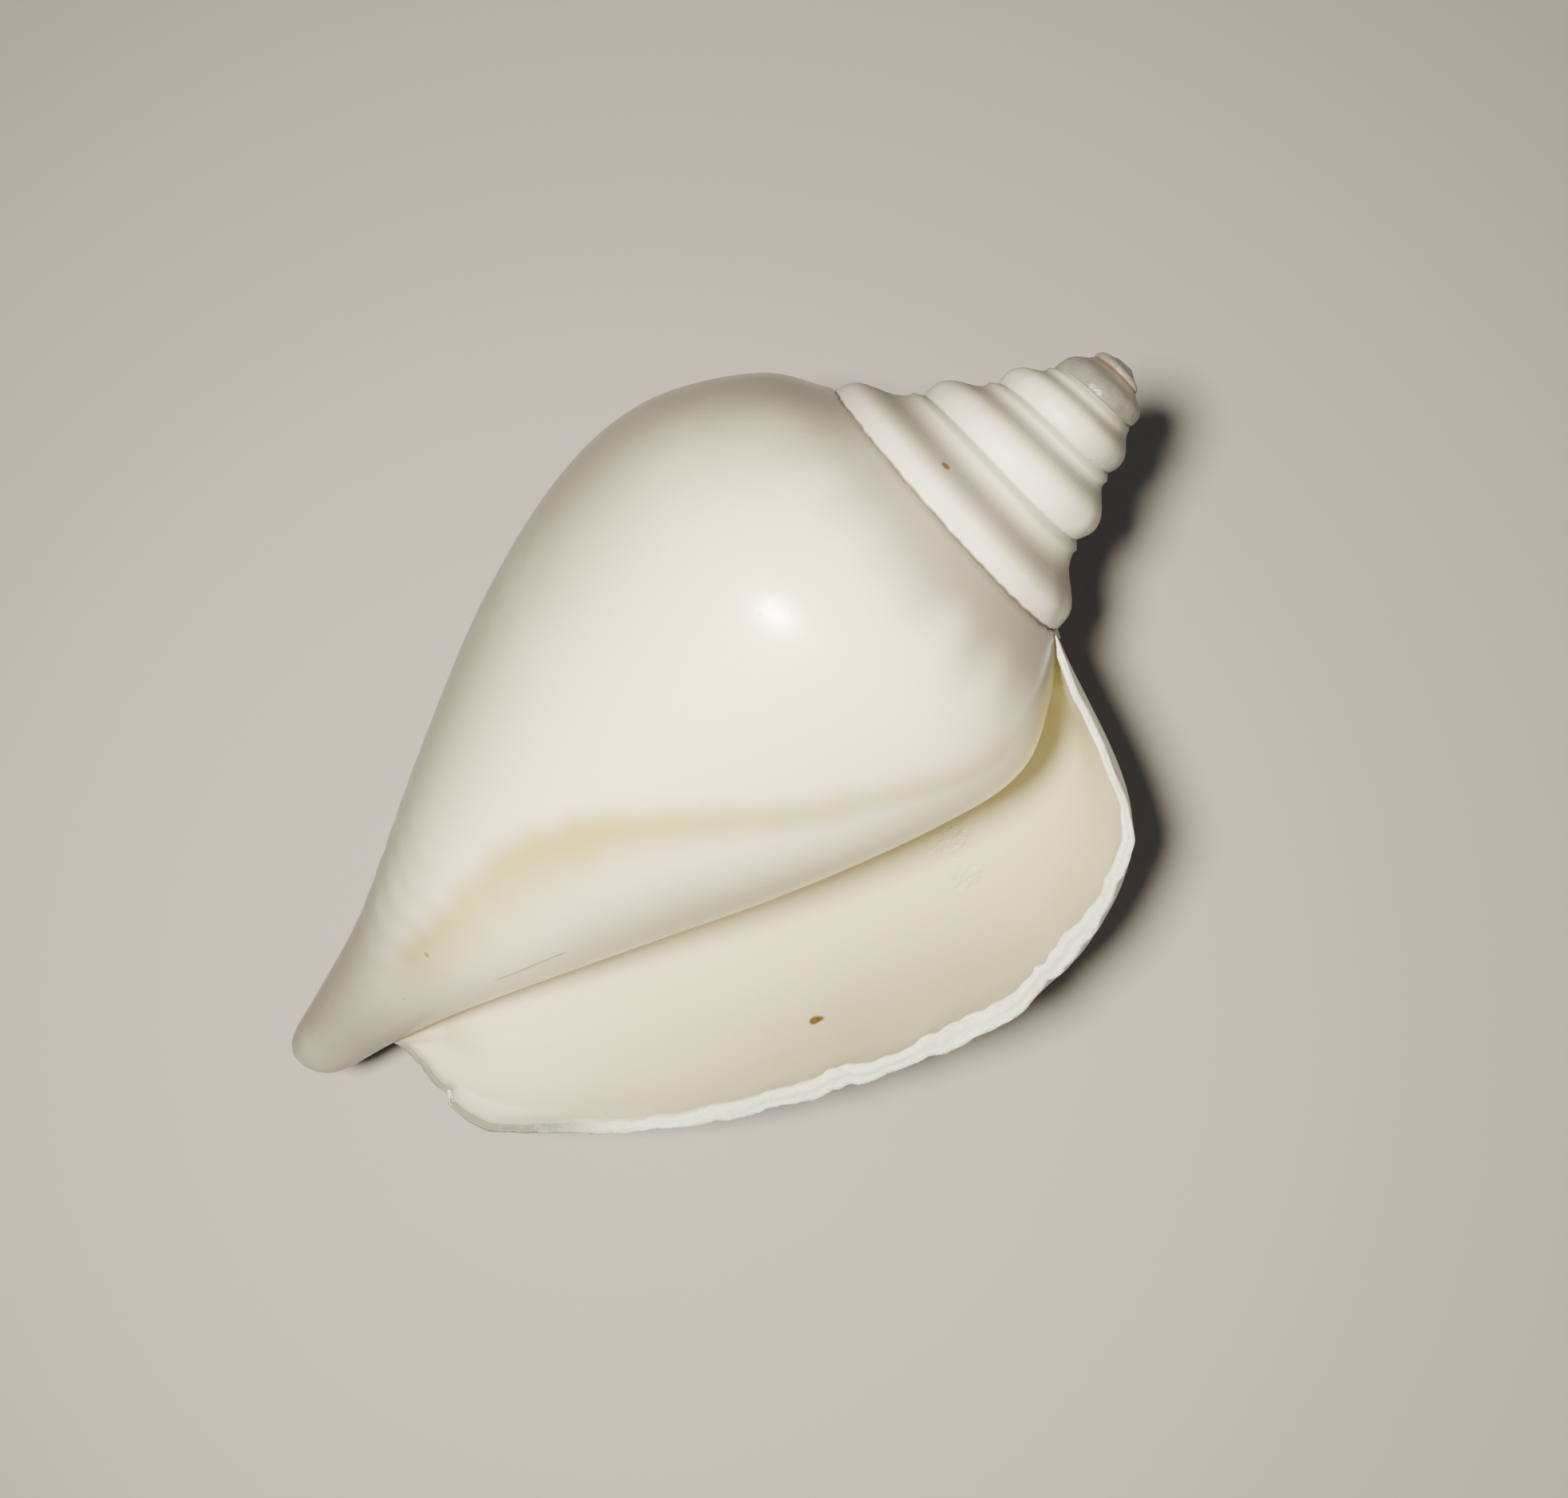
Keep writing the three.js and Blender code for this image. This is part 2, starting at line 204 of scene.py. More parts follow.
# Painted shade in the dip behind the lip.
DIP_SHADE = (0.36, 0.35, 0.24)
CANAL_WHITE = (0.78, 0.72, 0.60)
RIM_WHITE = (0.62, 0.63, 0.54)
LAYER_GREY = (0.24, 0.255, 0.22)
GLASSY_GREY = (0.13, 0.135, 0.10)
CHALK_WHITE = (0.70, 0.71, 0.62)
LOW_EDGE_GREY = (0.38, 0.39, 0.30)
CLOUD = (0.74, 0.70, 0.58, 1)
GRAIN = (0.55, 0.51, 0.42, 1)
CHALK_PIT = (0.42, 0.42, 0.36, 1)
CRACK_BROWN = (0.16, 0.11, 0.07, 1)
BROWN = (0.11, 0.05, 0.005, 1)
DARK = (0.16, 0.12, 0.08, 1)
GREEN = (0.35, 0.36, 0.14, 1)
FLOOR_GREY = (0.31, 0.285, 0.262, 1)

SPOTS = [
    # A point in the shell's own frame, its size in millimetres, its colour and its strength.
    [(-2.2, -8.2, 58.5), 0.28, BROWN, 0.95], [(-2.0, -8.25, 58.25), 0.22, BROWN, 0.8],
    [(19.3, 3.4, 28.9), 0.48, BROWN, 0.95], [(19.25, 3.5, 28.45), 0.55, BROWN, 0.95],
    [(-2.0, -16.0, 46.8), 0.16, DARK, 0.7], [(-0.2, -6.2, 14.8), 0.20, DARK, 0.8],
    [(0.9, -4.4, 10.6), 0.12, DARK, 0.5], [(14.7, -2.5, 15.6), 0.40, GREEN, 0.6],
]
CRUSTS = [[(16.6, 12.0, 41.8), 1.9], [(18.9, 9.7, 41.3), 1.5]]

# The hairline crack beside the mouth: its angle of growth at height 0, the degrees that it loses
# with each millimetre of height, and the heights between which it starts and ends.
CRACK_ANGLE = 59.1
CRACK_SLOPE = 0.364
CRACK_START = 16.4, 17.0
CRACK_END = 21.8, 22.6

# The camera, in the shell's own frame.
CAMERA_PLACE = np.array([4.105, -91.699, 61.121])
CAMERA_RIGHT = np.array([0.6371, 0.1773, 0.7501])
CAMERA_UP = np.array([-0.7708, 0.1465, 0.6201])
LENS = 34.46
SENSOR_WIDTH = 36

# The lights, in metres and watts.
KEY_OFFSET = -0.027, 0.002, 0.03  # From the camera: right, up, back.
KEY_SIZE, KEY_POWER = 0.022, 0.68
FILL_PLACE = 0.35, -0.3, 0.4
FILL_SIZE, FILL_POWER = 0.5, 0.12
LIT_PLACE = 0, 0, 0.02
WORLD_POWER = 0.12

LAST = len(FLANK) - 1
CLOSED = CLOSED_FROM / LAST
START_ANGLE = LIP_ANGLE[0] - 360
K_OPEN = SPIRE_ROWS + MOUTH_ROWS
K_ALL = K_OPEN + TIP_ROWS
random = np.random.RandomState(11)


def mix(a, b, share):
    return a + (b - a) * share


def smooth(x):
    x = np.clip(x, 0, 1)
    return x * x * (3 - 2 * x)


def rising(x, start, width):
    """0 up to the start, 1 from a width beyond it."""
    return smooth((x - start) / width)


def falling(x, end, width):
    """1 up to a width before the end, 0 from the end."""
    return smooth((end - x) / width)


def near(x, centre, width):
    """A soft bump, 1 at the centre."""
    return np.exp(-(((x - centre) / width) ** 2))


def follow(table, x):
    """Reads a table of x and value, straight between its rows."""
    return np.interp(x, *zip(*table))


def make_wave(count, lowest, highest):
    """A repeatable uneven line: a sum of sines with even strength."""
    rates = random.uniform(lowest, highest, count)
    phases = random.uniform(0, 2 * np.pi, count)

    def wave(x):
        x = np.asarray(x, float)[..., None]
        return np.sin(rates * x + phases).sum(-1) / math.sqrt(count)

    return wave


lip_wave = make_wave(16, 80, 620)
lip_slow = make_wave(6, 12, 50)
band_waver = make_wave(7, 0.05, 0.30)


def spline(values, share):
    """A smooth curve through equally spaced values: one list, or one column of them per share."""
    values = np.asarray(values, float)
    share = np.clip(share, 0, 1)
    n = len(values)
    place = share * (n - 1)
    i = np.minimum(n - 2, np.floor(place).astype(int))
    t = place - i
    columns = np.arange(values.shape[1]) if values.ndim == 2 else None

    def get(k):
        k = np.clip(k, 0, n - 1)
        return values[k] if columns is None else values[k, columns]

    b, c = get(i), get(i + 1)
    a = np.where(i > 0, get(i - 1), 2 * b - c)
    d = np.where(i + 2 < n, get(i + 2), 2 * c - b)
    return b + 0.5 * t * (c - a + t * (2 * a - 5 * b + 4 * c - d + t * (3 * (b - c) + d - a)))


def suture(angle):
    """Where each whorl meets the one before: distance from the axis and height."""
    turns = SUTURE[:, 0]
    turn = np.maximum(turns[0], np.asarray(angle, float) / 360)
    n = len(turns)
    i = np.clip(np.searchsorted(turns, turn), 1, n - 1)
    ia, ib, ic, id_ = np.maximum(i - 2, 0), i - 1, i, np.minimum(i + 1, n - 1)
    span = turns[ic] - turns[ib]
    t = (turn - turns[ib]) / span
    both = []
    for v in (SUTURE[:, 1], SUTURE[:, 2]):
        slope_b = (v[ic] - v[ia]) / (turns[ic] - turns[ia]) * span
        slope_c = (v[id_] - v[ib]) / (turns[id_] - turns[ib]) * span
        both.append(
            (2 * t**3 - 3 * t**2 + 1) * v[ib] + (t**3 - 2 * t**2 + t) * slope_b
            + (3 * t**2 - 2 * t**3) * v[ic] + (t**3 - t**2) * slope_c
        )
    return both


def grown(i, angle):
    """An outline point carried along the growth, before the lip's flare."""
    (r0, z0), (r1, z1) = MOUTH_SIDE[i], FLANK[i]
    below = SHELL_LENGTH - z0, SHELL_LENGTH - z1
    out = r0 * (r1 / r0) ** (angle / 180)
    return out, SHELL_LENGTH - below[0] * (below[1] / below[0]) ** (angle / 180)


def broken(s):
    """How far the lip's broken edge stands in from its smooth line, in millimetres."""
    depth = LIP_FINE * lip_wave(s) + LIP_COARSE * lip_slow(s)
    for place, above, below, deep in CHIPS:
        depth = depth + deep * np.exp(-np.abs(s - place) / np.where(s < place, above, below))
    return depth * rising(s, 0, LIP_FADE) * falling(s, CLOSED, LIP_FADE)


def whole_point(angle, s):
    """The last whorl's outer face before its lip was broken.

    The share s runs from 0 at the suture to 1 at the canal's tip.
    """
    angle, s = (np.ravel(a) for a in np.broadcast_arrays(np.asarray(angle, float), s))
    flare = rising(angle, FLARE_START, FLARE_END - FLARE_START)
    back = 1 - rising(np.abs(angle - BACK_ANGLE), 0, BACK_REACH)
    around = (1 - np.cos(np.radians(angle))) / 2
    outs, ups = [], []
    for i in range(LAST + 1):
        if i == 0:
            r, z = suture(angle)
        elif i >= CLOSED_FROM:
            r = mix(MOUTH_SIDE[i][0], FLANK[i][0], around)
            z = mix(MOUTH_SIDE[i][1], FLANK[i][1], around)
        else:
            r, z = grown(i, angle)
            r_end, z_end = grown(i, LIP_ANGLE[i])
            r = r * (LIP[i][0] / r_end) ** flare * (1 - BACK_FLATTENING * back)
            z = z + (LIP[i][1] - z_end) * flare
        outs.append(r)
        ups.append(z)
    return spline(np.array(outs), s), spline(np.array(ups), s)


def inward(angle, s):
    """The direction across the wall, from its outer face towards the axis: out and up."""
    out, up = whole_point(angle, s)
    out_below, up_below = whole_point(angle, s + SLOPE_STEP)
    length = np.hypot(out_below - out, up_below - up)
    return (up_below - up) / length, -(out_below - out) / length


def edge_shift(angle, s):
    """How far the broken lip moves a point: out and up."""
    across_out, across_up = inward(angle, s)
    depth = broken(s) * rising(angle, spline(LIP_ANGLE, s) - CHIP_REACH, CHIP_REACH)
    return depth * across_out, depth * across_up


def wall_point(angle, s):
    """The last whorl's outer face."""
    angle, s = (np.ravel(a) for a in np.broadcast_arrays(np.asarray(angle, float), s))
    return tuple(np.add(whole_point(angle, s), edge_shift(angle, s)))


def inner_point(angle, s, before, wall=WALL):
    """The wall's inner face: the outer face moved in, less where the whorl before it is near."""
    out, up = whole_point(angle, s)
    out_before, up_before = whole_point(angle - 360, before)
    across_out, across_up = inward(angle, s)
    depth = np.minimum(wall, NARROW_SHARE * np.hypot(out_before - out, up_before - up))
    shift_out, shift_up = edge_shift(angle, s)
    return out + depth * across_out + shift_out, up + depth * across_up + shift_up


def on_grid(function, *grids):
    """Calls a function of flat lists with grids, and gives its answers the grids' shape."""
    flat = function(*(grid.ravel() for grid in grids))
    return [answer.reshape(grids[0].shape) for answer in flat]


def in_space(out, up, angle):
    a = np.radians(angle)
    return np.stack([out * np.cos(a), -out * np.sin(a), up], -1)


def column_angle(column, s):
    """Columns follow the lip's own bent edge, as growth lines do."""
    return spline(LIP_ANGLE, s) - 360 + 360 * column / COLUMNS


def even(rows):
    """Row shares that lie closer together at both ends."""
    return 0.5 - 0.5 * np.cos(np.pi * np.arange(rows + 1) / rows)


def row_share(row, column):
    """The share down the outline of a row; near the mouth's top corner the first rows lie close."""
    top = mix(TOP_AT_MOUTH, TOP_FURTHER, smooth(column / (COLUMNS / 4)))
    ends = even(SPIRE_ROWS)[np.clip(row, 0, SPIRE_ROWS)]
    open_part = mix(top, CLOSED, (row - SPIRE_ROWS) / MOUTH_ROWS)
    tip_part = mix(CLOSED, 1, (row - K_OPEN) / TIP_ROWS)
    return np.where(row <= SPIRE_ROWS, top * ends, np.where(row <= K_OPEN, open_part, tip_part))


def turning_share(is_yes, yes, no, count):
    """Where each column's yes turns to no, between two shares."""
    yes, no = np.full(count, float(yes)), np.full(count, float(no))
    for _ in range(16):
        middle = (yes + no) / 2
        answer = is_yes(middle)
        yes, no = np.where(answer, middle, yes), np.where(answer, no, middle)
    return yes


def share_at_height(angle, up):
    return turning_share(lambda s: wall_point(angle, s)[1] > up, 0, 0.9, len(angle))


def suture_relief(below, above=np.inf, size=9.0):
    """Relief near sutures, in millimetres.

    Below and above are distances from a suture line, and size is its distance from the axis, where
    9 and more give the relief its full size.
    """
    small = np.sqrt(np.clip(size / 9, 0.12, 1))
    groove = -0.22 * near(below, 0, 0.14 * small) - 0.12 * near(above, 0, 0.10 * small)
    return (groove + 0.05 * near(below, 0.5, 0.25)) * small


def suture_wobble(angle):
    """How far the sutures' lines waver up and down, in millimetres; the first whorls' don't."""
    uneven = 0.035 * band_waver(angle * 4) + 0.025 * band_waver(angle * 9)
    return uneven * rising(angle / 360, -3, 2)


# What each point is, for the colours: part of the shell, angle of growth, share down, height.
OUTSIDE, SPIRE, RIM, INSIDE = 0.0, 1.0, 2.0, 3.0
points = []
marks = []


def mark(part, angle, share, up):
    return np.stack(np.broadcast_arrays(np.float64(part), angle, share, up), -1)


def add_points(place, coil):
    """Adds points and returns their numbers, in the same array shape."""
    start = sum(len(p) for p in points)
    points.append(place.reshape(-1, 3))
    marks.append(coil.reshape(-1, 4))
    return start + np.arange(len(points[-1])).reshape(place.shape[:-1])


def add_point(place, part, angle, share, up):
    return add_points(np.array([place], float), mark(part, angle, [share], [up]))[0]


# The spire's spiral band, one column of rows at a time of growth.
first_column = math.ceil((SUTURE[0, 0] * 360 - START_ANGLE) / 360 * COLUMNS)
column, row = np.meshgrid(np.arange(first_column, 0), np.arange(SPIRE_ROWS), indexing="ij")
angle = START_ANGLE + 360 * column / COLUMNS
turns = angle / 360
top_out, top_up = suture(angle)
foot_out, foot_up = suture(angle + 360)
down = even(SPIRE_ROWS)[row]
age = rising(turns, YOUNG_TURN, OLD_TURN - YOUNG_TURN)
bulge = mix(spline(BULGE_YOUNG, down), spline(BULGE_OLD, down), age)
whorl_height = np.hypot(foot_out - top_out, foot_up - top_up)
out = mix(top_out, foot_out, bulge)
up = mix(top_up, foot_up, down)
out = out + suture_relief(down * whorl_height, (1 - down) * whorl_height, top_out)
cords = (
    CORD_HEIGHT * near(down, CORD_DOWN, CORD_WIDTH)
    - HOLLOW_DEPTH * near(down, follow(HOLLOW_DOWN, turns), HOLLOW_WIDTH)
    + SHOULDER_HEIGHT * near(down, SHOULDER_DOWN, SHOULDER_WIDTH)
)
out = out + cords * whorl_height * rising(turns, -3.6, 1.2)
folds = FOLD_HEIGHT * band_waver(angle) * rising(down, 0.3, 0.3) * falling(down, 1, 0.2)
out = out + folds * whorl_height
pits = band_waver(angle * 0.5 + 25 * down) + band_waver(angle * 0.3 - 15 * down)
out = out + falling(turns, -3.1, 0.7) * PIT_DEPTH * pits
bite = near((angle + 180) % 360 - 180, BITE_ANGLE, BITE_WIDTH) * rising(up, BITE_FROM, 0.9)
out = out - 0.5 * bite * np.clip(out, 0, 1.2)
up = up - 0.35 * bite
up = up + suture_wobble(angle + 360) * np.exp(-(1 - down) * whorl_height / 0.4)
spire_ids = add_points(in_space(out, up, angle), mark(SPIRE, angle, down, up))

# The last whorl's outer face.
column, row = np.meshgrid(np.arange(COLUMNS), np.arange(K_ALL), indexing="ij")
s = row_share(row, column)
angle = column_angle(column, s)
out, up = on_grid(wall_point, angle, s)
start_out, start_up = on_grid(wall_point, angle, np.zeros(s.shape))
from_suture = np.hypot(out - start_out, up - start_up)
out = out + suture_relief(from_suture)
up = up + suture_wobble(angle) * np.exp(-from_suture / 0.4) * falling(row, SPIRE_ROWS + 60, 30)
wrinkled = near(up, WRINKLE_UP, WRINKLE_REACH) * near(angle, WRINKLE_ANGLE, WRINKLE_TURN)
wrinkles = np.sin(2.9 * up + 1.4 * np.sin(angle / 9) + 0.5 * np.sin(angle / 3.1))
out = out + wrinkled * WRINKLE_DEPTH * wrinkles
body_ids = add_points(in_space(out, up, angle), mark(OUTSIDE, angle, s, up))
s = row_share(np.arange(K_OPEN), COLUMNS)
lip_shares = np.append(s, CLOSED) / CLOSED
angle = column_angle(COLUMNS, s)
out, up = wall_point(angle, s)
lip_ids = add_points(in_space(out, up, angle), mark(RIM, angle, s, up))
tip_id = add_point((0, 0, FLANK[LAST][1]), OUTSIDE, 180, 1, FLANK[LAST][1])
apex_id = add_point((0, 0, SHELL_LENGTH - 0.12), SPIRE, SUTURE[0, 0] * 360, 0, SHELL_LENGTH)

# The numbers of all the outer face's points: columns of growth, the spire's before the body's.
outer = np.zeros((COLUMNS + 1 - first_column, K_ALL + 1), int)
outer[:-first_column, :SPIRE_ROWS] = spire_ids
outer[-first_column:-1, :K_ALL] = body_ids
outer[-1, :K_OPEN] = lip_ids
outer[-1, 0] = body_ids[0, SPIRE_ROWS]
outer[-1, K_OPEN:K_ALL] = body_ids[0, K_OPEN:]
outer[:, K_ALL] = tip_id
outer[:-first_column, SPIRE_ROWS] = outer[COLUMNS:-first_column + COLUMNS, 0]

faces = []


def add_quads(a, b, c, d):
    faces.extend(np.stack([np.ravel(x) for x in (a, b, c, d)], -1).tolist())


def add_fan(middle, rim):
    faces.extend([middle, rim[(i + 1) % len(rim)], rim[i]] for i in range(len(rim)))


spire = outer[:-first_column + 1, :SPIRE_ROWS + 1]
body = outer[-first_column:]
for sheet in (spire, body):
    add_quads(sheet[:-1, :-1], sheet[1:, :-1], sheet[1:, 1:], sheet[:-1, 1:])

# The apex is a worn fan over the first turn.
add_fan(apex_id, [*outer[0, SPIRE_ROWS:0:-1], *outer[:COLUMNS, 0]])

# The hollow: rings from the mouth inwards, down the last wall's inner face and back up the pillar.
depth = np.arange(HOLLOW_COLUMNS)


def clear_of_before(s):
    angle = column_angle(COLUMNS - depth, s)
    out, up = inner_point(angle, s, s)
    return out - wall_point(angle - 360, share_at_height(angle - 360, up))[0] > HOLLOW_GAP


def height_before(s):
    angle = column_angle(COLUMNS - depth, s)
    return share_at_height(angle - 360, inner_point(angle, s, s)[1])


top_clear = turning_share(clear_of_before, 0.3, 0, HOLLOW_COLUMNS)
foot_clear = turning_share(clear_of_before, 0.3, CLOSED, HOLLOW_COLUMNS)
top_closing = smooth(depth / TOP_CLOSING)
foot_closing = smooth(depth / FOOT_CLOSING)
top = mix(0, top_clear, top_closing)[:, None]
foot = mix(CLOSED, foot_clear, foot_closing)[:, None]
mouth_top = row_share(np.array(SPIRE_ROWS), 0)
top_before = mix(mouth_top, height_before(top_clear), top_closing)[:, None]
foot_before = mix(CLOSED, height_before(foot_clear), foot_closing)[:, None]

s = mix(top, foot, lip_shares)
s_before = mix(top_before, foot_before, lip_shares)
angle = column_angle(COLUMNS - depth[:, None], s)
edge_wall = follow(EDGE_WALL, s) * (1 + 0.10 * lip_slow(s * 1.7 + 0.4) + 0.05 * lip_wave(s * 0.6))
wall = WALL * mix(edge_wall, 1, smooth(depth[:, None] / EDGE_COLUMNS))
out, up = on_grid(inner_point, angle, s, s_before, wall)
inner_place = in_space(out, up, angle)

s_up = mix(top_before, foot_before, 1 - np.arange(MOUTH_ROWS + 1) / MOUTH_ROWS)
angle_up = column_angle(-depth[:, None], s_up)
out_up, height_up = on_grid(wall_point, angle_up, s_up)
pillar_place = in_space(out_up, height_up, angle_up)

corner = (inner_place[:, :1] + pillar_place[:, -1:]) / 2
foot_place = (inner_place[:, -1:] + pillar_place[:, :1]) / 2
ring = np.concatenate([corner, inner_place[:, 1:-1], foot_place, pillar_place[:, 1:-1]], 1)
ring_marks = np.concatenate([
    mark(INSIDE, angle[:, :-1], s[:, :-1], up[:, :-1]),
    mark(OUTSIDE, angle_up[:, :-1], s_up[:, :-1], height_up[:, :-1]),
], 1)
ring_ids = np.zeros(ring.shape[:2], int)
ring_ids[1:] = add_points(ring[1:], ring_marks[1:])
ring_ids[0, 0] = body_ids[0, SPIRE_ROWS]
mouth_marks = mark(RIM, angle[0, 1:-1], s[0, 1:-1], up[0, 1:-1])
ring_ids[0, 1:K_OPEN] = add_points(ring[0, 1:K_OPEN], mouth_marks)
ring_ids[0, K_OPEN:] = body[0, K_OPEN:SPIRE_ROWS:-1]
around = np.roll(ring_ids, -1, 1)
add_quads(ring_ids[:-1], ring_ids[1:], around[1:], around[:-1])
end_id = add_point(ring[-1].mean(0), INSIDE, 100, 0.3, 40)
add_fan(end_id, ring_ids[-1])

# The lip's broken edge, from the outer face to the inner one: rounded, rough and a little undercut.
edge_s, edge_angle, edge_up = s[0, :-1], angle[0, :-1], up[0, :-1]
outer_edge = np.concatenate(points)[lip_ids]
inner_edge = ring[0, :K_OPEN]
growth = in_space(*wall_point(edge_angle + 1, edge_s), edge_angle + 1) - outer_edge
growth /= np.linalg.norm(growth, axis=1)[:, None] + 1e-9
growth *= (rising(edge_s, 0, 0.02) * falling(edge_s, CLOSED, LIP_FADE))[:, None]
strips = [body[-1, :K_OPEN + 1]]
for i in range(1, RIM_ROWS):
    t = i / RIM_ROWS
    rough = 0.045 * lip_wave(edge_s * 0.8 + 3.1 * t) + 0.05 * lip_slow(edge_s * 2 + 5 * t)
    step = EDGE_STEP * rising(t, 0.40, 0.15) * smooth(0.5 + 0.8 * lip_slow(edge_s * 0.7 + 2))
    height = EDGE_ROUNDING * math.sin(math.pi * t) + rough - step
    place = mix(outer_edge, inner_edge, t) + growth * height[:, None]
    ids = add_points(place, mark(RIM + 0.9 * t, edge_angle, edge_s, edge_up))
    ids[0] = body[-1, 0]
    strips.append(np.append(ids, body[-1, K_OPEN]))
strips.append(ring_ids[0, :K_OPEN + 1])
for a, b in zip(strips[:-1], strips[1:]):
    add_quads(a[:-1], b[:-1], b[1:], a[1:])

# Corners that share a point are dropped, so that every face is sound.
sound = []
for face in faces:
    face = [point for i, point in enumerate(face) if point != face[i - 1]]
    if len(face) >= 3 and len(set(face)) == len(face):
        sound.append(face)
place = np.concatenate(points)
coil = np.concatenate(marks)
used = np.unique(np.concatenate(sound))
order = np.zeros(len(place), int)
order[used] = np.arange(len(used))
sound = [order[face].tolist() for face in sound]
place, coil = place[used], coil[used]

# Laid down on its back, with the worn flat on the floor.
rise, lean = math.radians(AXIS_RISE), math.radians(LEAN)
level_up = np.array([
    -math.cos(rise) * math.sin(lean), -math.cos(rise) * math.cos(lean), math.sin(rise),
])
along = np.array([0, 0, 1]) - level_up[2] * level_up
along /= np.linalg.norm(along)
turn = np.array([along, np.cross(level_up, along), level_up])
laid = place @ turn.T + SHIFT
laid[:, 2] = np.maximum(laid[:, 2], 0)

mesh = bpy.data.meshes.new("conch_surface")
mesh.from_pydata((laid / 1000).tolist(), [], sound)
mesh.polygons.foreach_set("use_smooth", np.ones(len(mesh.polygons), bool))
shell = bpy.data.objects.new("conch_surface", mesh)
bpy.context.scene.collection.objects.link(shell)

# The colours, painted point by point from the growth.
part, angle, share, height = coil.T
turns = angle / 360
radius = np.hypot(place[:, 0], place[:, 1])
outside, on_spire, on_rim, inside = (
    np.floor(part) == kind for kind in (OUTSIDE, SPIRE, RIM, INSIDE)
)
from_lip = angle - spline(LIP_ANGLE, share)
colours = np.tile(np.array(CREAM), (len(coil), 1))


def coat(colour, weight):
    """Lays a colour over the points, by a weight for each."""
    weight = np.clip(weight, 0, 1)[:, None]
    colours[:] = colours * (1 - weight) + np.array(colour) * weight


# The last whorl: a greyer ramp under the suture, partly painted shade, a pale yellow stain, painted
# shade on the low side and on the flanks away from the light, and a grey tip.
suture_out, suture_up = suture(angle)
below_suture = np.hypot(radius - suture_out, height - suture_up)
# The ramp's grey is partly its own colour and partly painted shade where it faces up towards the
# apex, away from the light; strongest near angle 45.
ramp = 1 - smooth((below_suture - 2.6) / 5.0 + 0.10 * band_waver(angle * 1.5))
coat(RAMP_GREY_AND_SHADE, 0.8 * outside * ramp * (0.55 + 0.45 * near(angle, 45, 60)))
from_stain = radius * np.radians(angle - follow(STAIN_ANGLE, height)) * 0.85
from_stain = from_stain + 0.14 * band_waver(height * 9)
upper_edge = falling(from_stain, follow(STAIN_TOP, height), 1.9)
lower_edge = 1 - smooth((0.3 - from_stain) / follow(STAIN_WIDTH, height) / 1.4)
coat(STAIN_YELLOW, 0.86 * outside * upper_edge * lower_edge * follow(STAIN_STRENGTH, height))
# Painted shade on the side below the stain, darker the further it lies from the stain towards the
# mouth's inner edge.
low_side_shade = falling(from_stain, -1.5, 7) * falling(height, 52, 6)
coat(LOW_SIDE_SHADE, 0.7 * outside * low_side_shade * (angle < 120))
# Mostly painted shade: the outer face darkens from angle 88 on, where it turns away from the light,
# and less so over the back from angle 200.
coat(FLANK_SHADE, 0.90 * outside * rising(angle, 88, 75) * (1 - 0.45 * rising(angle, 200, 60)))
coat(OLIVE, 0.45 * outside * near(angle, 24, 14) * near(height, 47, 6))
coat(NECK_GREY, 0.82 * outside * (1 - rising(height, 5, 17)))
coat(SUTURE_SHADE, 0.45 * outside * near(below_suture, 0, 0.9))
suture_line = near(below_suture, 0.06, 0.20) * (0.75 + 0.25 * band_waver(angle * 5))
coat(SUTURE_BROWN, 0.85 * outside * suture_line)

# The spire: a cream cord under each suture, painted shade in its hollow, then a white shoulder,
# painted shade on its sides away from the light, and a horny apex.
# Painted shade along the hollow band, which faces up towards the apex.
coat(HOLLOW_SHADE, 0.8 * on_spire * near(share, follow(HOLLOW_SHADE_DOWN, turns), follow(HOLLOW_SHADE_WIDTH, turns)))
coat(CORD_CREAM, 0.85 * on_spire * near(share, 0.09, 0.06))
coat(SHOULDER_WHITE, 0.9 * on_spire * rising(share, follow(WHITE_FROM, turns), 0.2))
coat(WHORL_TOP, 0.55 * on_spire * near(share, 0, 0.035))
coat(WHORL_FOOT, 0.85 * on_spire * near(share, 1, 0.022) * (turns > -1.02))
# Painted shade: the spire darkens the further its angle of growth turns from 75, where it faces the
# light.
coat(SPIRE_SIDE_SHADE, 0.82 * on_spire * (1 - near(np.abs((angle - 75 + 180) % 360 - 180), 0, 75)))
horny = on_spire * falling(turns, -2.6, 0.5)
coat(HORNY_GREY, 0.92 * horny)
coat(HORNY_BROWN, 0.85 * on_spire * near(share, 0.03, 0.09) * near(turns, -3.7, 0.3))

# The mouth: ivory, paler deep inside, painted shade in a dip behind the lip, whiter by the canal.
pillar = outside * falling(angle, 16, 55)
deep = inside * (1 - rising(angle, 290, 40))
coat(IVORY, 0.9 * inside)
coat(IVORY, 0.9 * pillar)
coat(DEEP_IVORY, 0.85 * np.maximum(deep, pillar))
coat(LIP_IVORY, 0.4 * inside * rising(angle, 352, 20))
# Painted shade, greenish, in the concave dip on the lip's inner face.
coat(DIP_SHADE, 0.6 * inside * rising(angle, 325, 25) * near(height, 33, 15))
coat(CANAL_WHITE, 0.5 * inside * (1 - rising(height, 8, 14)) * (angle > 330))

